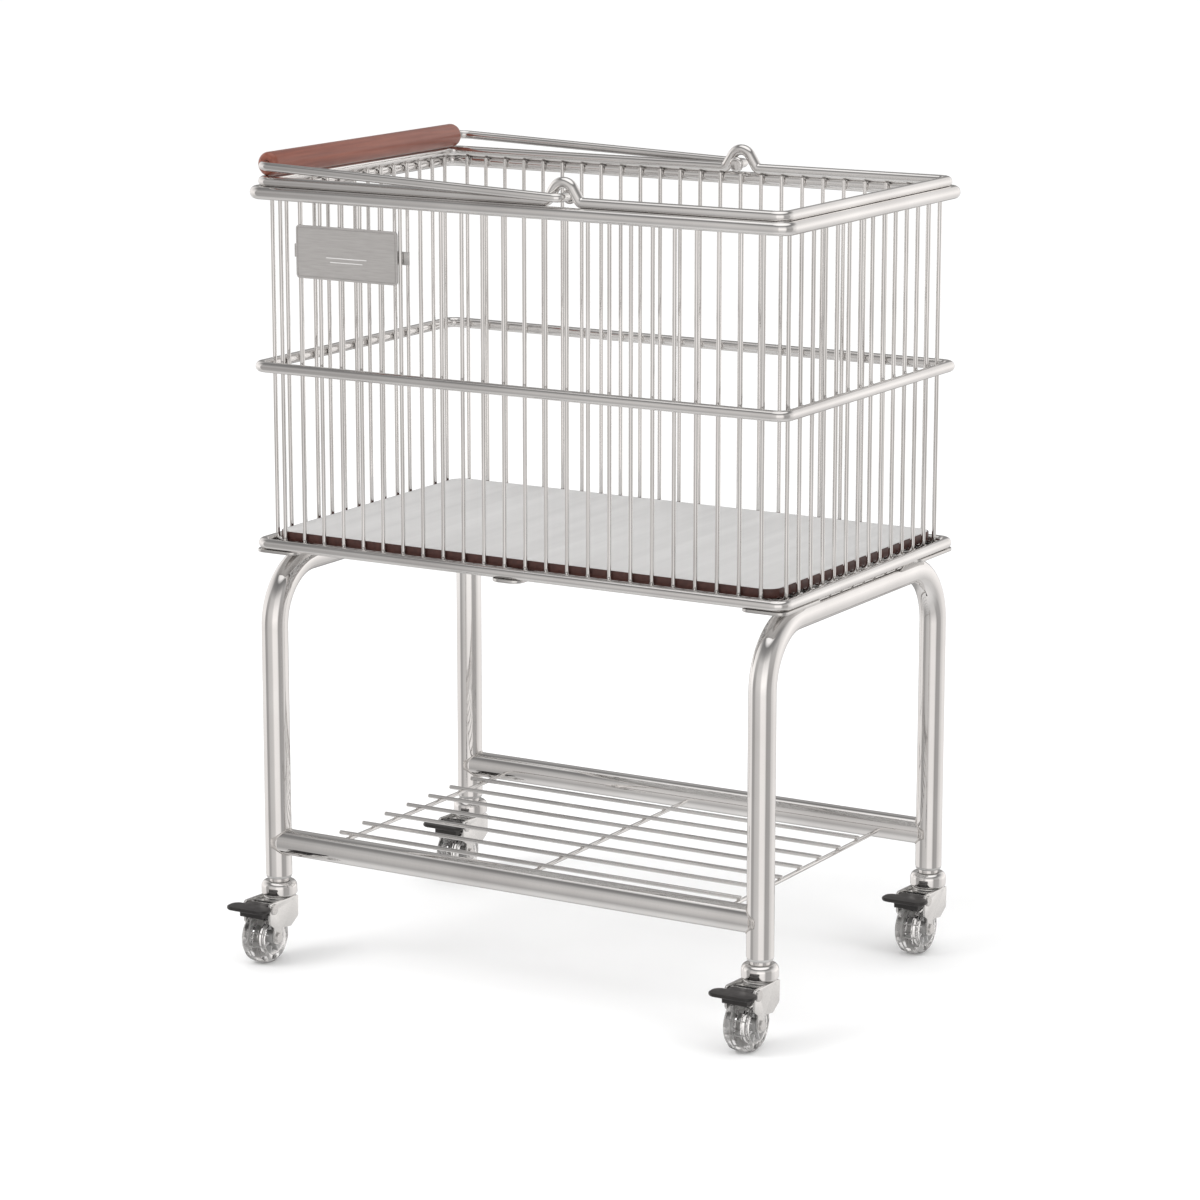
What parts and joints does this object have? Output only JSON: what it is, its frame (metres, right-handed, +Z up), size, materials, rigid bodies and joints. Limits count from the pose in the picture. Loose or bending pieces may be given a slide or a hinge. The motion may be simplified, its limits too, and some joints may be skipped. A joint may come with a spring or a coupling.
{
  "type": "wire basket trolley",
  "caption": "Chromed wire basket with a wooden-grip bail handle, on a tubular stand with a wire shelf and braked swivel casters.",
  "frame": {"origin": "on the floor, under the middle of the trolley's bounding box", "axes": "+X along the long side to the right, +Y from the name plate's side to the rear, +Z up"},
  "size_m": [0.569, 0.417, 0.7651],
  "materials": {
    "chrome_tube": "bright plated tube with a faint drawing grain",
    "chrome_wire": "bright plated wire",
    "chrome_ring": "bright plated round bar",
    "plated_sheet": "bright plated sheet",
    "name_plate": "satin sheet, blank",
    "rivet_metal": "satin",
    "bearing_steel": "polished",
    "caster_zinc": "bright zinc plate",
    "board_face": "pale laminate",
    "board_edge": "dark reddish brown edge band",
    "grip_wood": "satin lacquered, reddish brown",
    "clear_tread": "clear polyurethane",
    "hub_plastic": "grey moulded",
    "brake_plastic": "black moulded",
    "socket_plastic": "grey moulded"
  },
  "bodies": {
    "stand_and_basket": {"left_leg_frame": "chrome_tube", "right_leg_frame": "chrome_tube", "front_rail": "chrome_tube", "rear_rail": "chrome_tube", "shelf_cross_wires": "chrome_wire", "shelf_long_wires": "chrome_wire", "corner_plates": "plated_sheet", "centre_strap": "plated_sheet", "leg_sockets": "socket_plastic", "bottom_ring": "chrome_ring", "middle_ring": "chrome_ring", "rim_ring": "chrome_ring", "top_ring": "chrome_ring", "front_wall_wires": "chrome_wire", "rear_wall_wires": "chrome_wire", "left_wall_wires": "chrome_wire", "right_wall_wires": "chrome_wire", "floor_cross_wires": "chrome_wire", "floor_long_wires": "chrome_wire", "floor_board": "board_face", "board_edge_band": "board_edge", "name_plate": "name_plate", "name_plate_clamps": "plated_sheet", "name_plate_rivets": "rivet_metal", "swivel_bearing_balls": "bearing_steel", "front_left_caster_stem": "caster_zinc", "front_right_caster_stem": "caster_zinc", "rear_left_caster_stem": "caster_zinc", "rear_right_caster_stem": "caster_zinc"},
    "bail": {"bail_wire": "chrome_wire", "bail_end_caps": "chrome_ring"},
    "grip": {"handle_grip": "grip_wood"},
    "front_left_swivel": {"front_left_caster_fork": "caster_zinc", "front_left_caster_axle": "rivet_metal", "front_left_caster_brake_pin": "rivet_metal"},
    "front_left_wheel": {"front_left_caster_wheel": "clear_tread", "front_left_caster_hub": "hub_plastic"},
    "front_left_pedal": {"front_left_caster_brake_pedal": "brake_plastic"},
    "front_right_swivel": {"front_right_caster_fork": "caster_zinc", "front_right_caster_axle": "rivet_metal", "front_right_caster_brake_pin": "rivet_metal"},
    "front_right_wheel": {"front_right_caster_wheel": "clear_tread", "front_right_caster_hub": "hub_plastic"},
    "front_right_pedal": {"front_right_caster_brake_pedal": "brake_plastic"},
    "rear_left_swivel": {"rear_left_caster_fork": "caster_zinc", "rear_left_caster_axle": "rivet_metal", "rear_left_caster_brake_pin": "rivet_metal"},
    "rear_left_wheel": {"rear_left_caster_wheel": "clear_tread", "rear_left_caster_hub": "hub_plastic"},
    "rear_left_pedal": {"rear_left_caster_brake_pedal": "brake_plastic"},
    "rear_right_swivel": {"rear_right_caster_fork": "caster_zinc", "rear_right_caster_axle": "rivet_metal", "rear_right_caster_brake_pin": "rivet_metal"},
    "rear_right_wheel": {"rear_right_caster_wheel": "clear_tread", "rear_right_caster_hub": "hub_plastic"},
    "rear_right_pedal": {"rear_right_caster_brake_pedal": "brake_plastic"}
  },
  "joints": [
    {"name": "bail_swing", "type": "hinge", "parent": "stand_and_basket", "child": "bail", "pos_m": [0.054, 0.0215, 0.7426], "axis": [0, 1, 0], "range_deg": [0, 178]},
    {"name": "grip_turn", "type": "hinge", "parent": "bail", "child": "grip", "pos_m": [-0.268, 0.0215, 0.75386], "axis": [0, 1, 0], "continuous": true},
    {"name": "front_left_swivel_turn", "type": "hinge", "parent": "stand_and_basket", "child": "front_left_swivel", "pos_m": [-0.26, -0.1485, 0.06], "axis": [0, 0, 1], "continuous": true},
    {"name": "front_left_wheel_spin", "type": "hinge", "parent": "front_left_swivel", "child": "front_left_wheel", "pos_m": [-0.26, -0.1735, 0.025], "axis": [1, 0, 0], "continuous": true},
    {"name": "front_left_pedal_press", "type": "hinge", "parent": "front_left_swivel", "child": "front_left_pedal", "pos_m": [-0.26, -0.1795, 0.0546], "axis": [1, 0, 0], "range_deg": [0, 10]},
    {"name": "front_right_swivel_turn", "type": "hinge", "parent": "stand_and_basket", "child": "front_right_swivel", "pos_m": [0.26, -0.1485, 0.06], "axis": [0, 0, 1], "continuous": true},
    {"name": "front_right_wheel_spin", "type": "hinge", "parent": "front_right_swivel", "child": "front_right_wheel", "pos_m": [0.26, -0.1735, 0.025], "axis": [1, 0, 0], "continuous": true},
    {"name": "front_right_pedal_press", "type": "hinge", "parent": "front_right_swivel", "child": "front_right_pedal", "pos_m": [0.26, -0.1795, 0.0546], "axis": [1, 0, 0], "range_deg": [0, 10]},
    {"name": "rear_left_swivel_turn", "type": "hinge", "parent": "stand_and_basket", "child": "rear_left_swivel", "pos_m": [-0.26, 0.1915, 0.06], "axis": [0, 0, 1], "continuous": true},
    {"name": "rear_left_wheel_spin", "type": "hinge", "parent": "rear_left_swivel", "child": "rear_left_wheel", "pos_m": [-0.26, 0.1665, 0.025], "axis": [1, 0, 0], "continuous": true},
    {"name": "rear_left_pedal_press", "type": "hinge", "parent": "rear_left_swivel", "child": "rear_left_pedal", "pos_m": [-0.26, 0.1605, 0.0546], "axis": [1, 0, 0], "range_deg": [0, 10]},
    {"name": "rear_right_swivel_turn", "type": "hinge", "parent": "stand_and_basket", "child": "rear_right_swivel", "pos_m": [0.26, 0.1915, 0.06], "axis": [0, 0, 1], "continuous": true},
    {"name": "rear_right_wheel_spin", "type": "hinge", "parent": "rear_right_swivel", "child": "rear_right_wheel", "pos_m": [0.26, 0.1665, 0.025], "axis": [1, 0, 0], "continuous": true},
    {"name": "rear_right_pedal_press", "type": "hinge", "parent": "rear_right_swivel", "child": "rear_right_pedal", "pos_m": [0.26, 0.1605, 0.0546], "axis": [1, 0, 0], "range_deg": [0, 10]}
  ]
}
